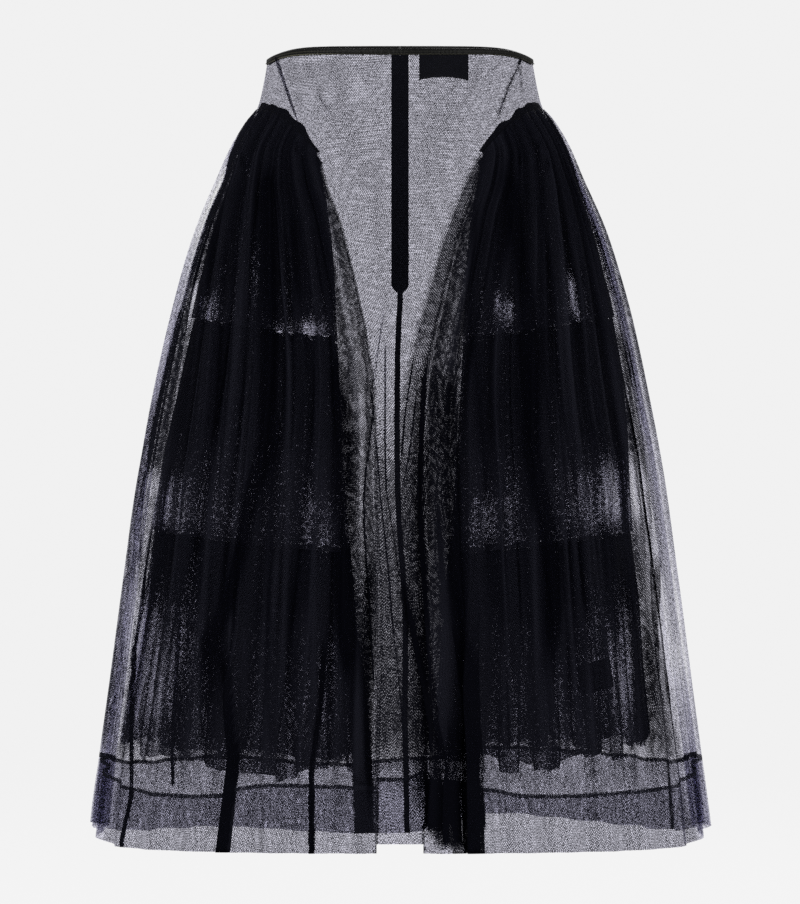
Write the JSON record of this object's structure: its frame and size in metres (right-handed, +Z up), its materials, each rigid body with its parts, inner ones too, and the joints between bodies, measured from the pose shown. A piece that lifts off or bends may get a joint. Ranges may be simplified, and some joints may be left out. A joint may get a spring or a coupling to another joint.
{
  "type": "tulle skirt",
  "caption": "Midi-length net skirt with a bound waist, slanted gathered hip seams, a smooth centre gore, gathered sides, a tiered petticoat inside and a centre back zip.",
  "frame": {"origin": "centre of the waist, level with the lower edge of the waist binding at the two sides", "axes": "+Z up along the skirt, front faces -Y, +X to the right as seen from the front"},
  "size_m": [0.6018, 0.3395, 0.785],
  "materials": {
    "net": "fine hexagonal nylon net, black with a navy cast, sheer",
    "petticoat_net": "gathered nylon net, black with a navy cast",
    "satin": "black satin bias binding with an olive sheen",
    "zip_tape": "matte black woven tape",
    "dark_metal": "black enamelled zinc, satin gloss",
    "label_cloth": "black woven satin label, blank"
  },
  "bodies": {
    "skirt": {"waist_binding": "satin", "front_panel": "net", "back_panel_left": "net", "back_panel_right": "net", "side_panel_left": "net", "side_panel_right": "net", "hip_binding_left": "satin", "hip_binding_right": "satin", "petticoat_left_tier_1": "petticoat_net", "petticoat_left_tier_2": "petticoat_net", "petticoat_left_tier_3": "petticoat_net", "petticoat_right_tier_1": "petticoat_net", "petticoat_right_tier_2": "petticoat_net", "petticoat_right_tier_3": "petticoat_net", "zip_tape_left": "zip_tape", "zip_tape_right": "zip_tape", "back_seam_binding": "zip_tape", "zip_slider": "dark_metal", "waist_label": "label_cloth", "care_label": "label_cloth"},
    "pull_tab": {"zip_pull": "dark_metal"}
  },
  "joints": [
    {"name": "pull_hinge", "type": "hinge", "parent": "skirt", "child": "pull_tab", "pos_m": [0, 0.10134, 0.0025], "axis": [1, 0, 0], "range_deg": [0, 165]}
  ]
}
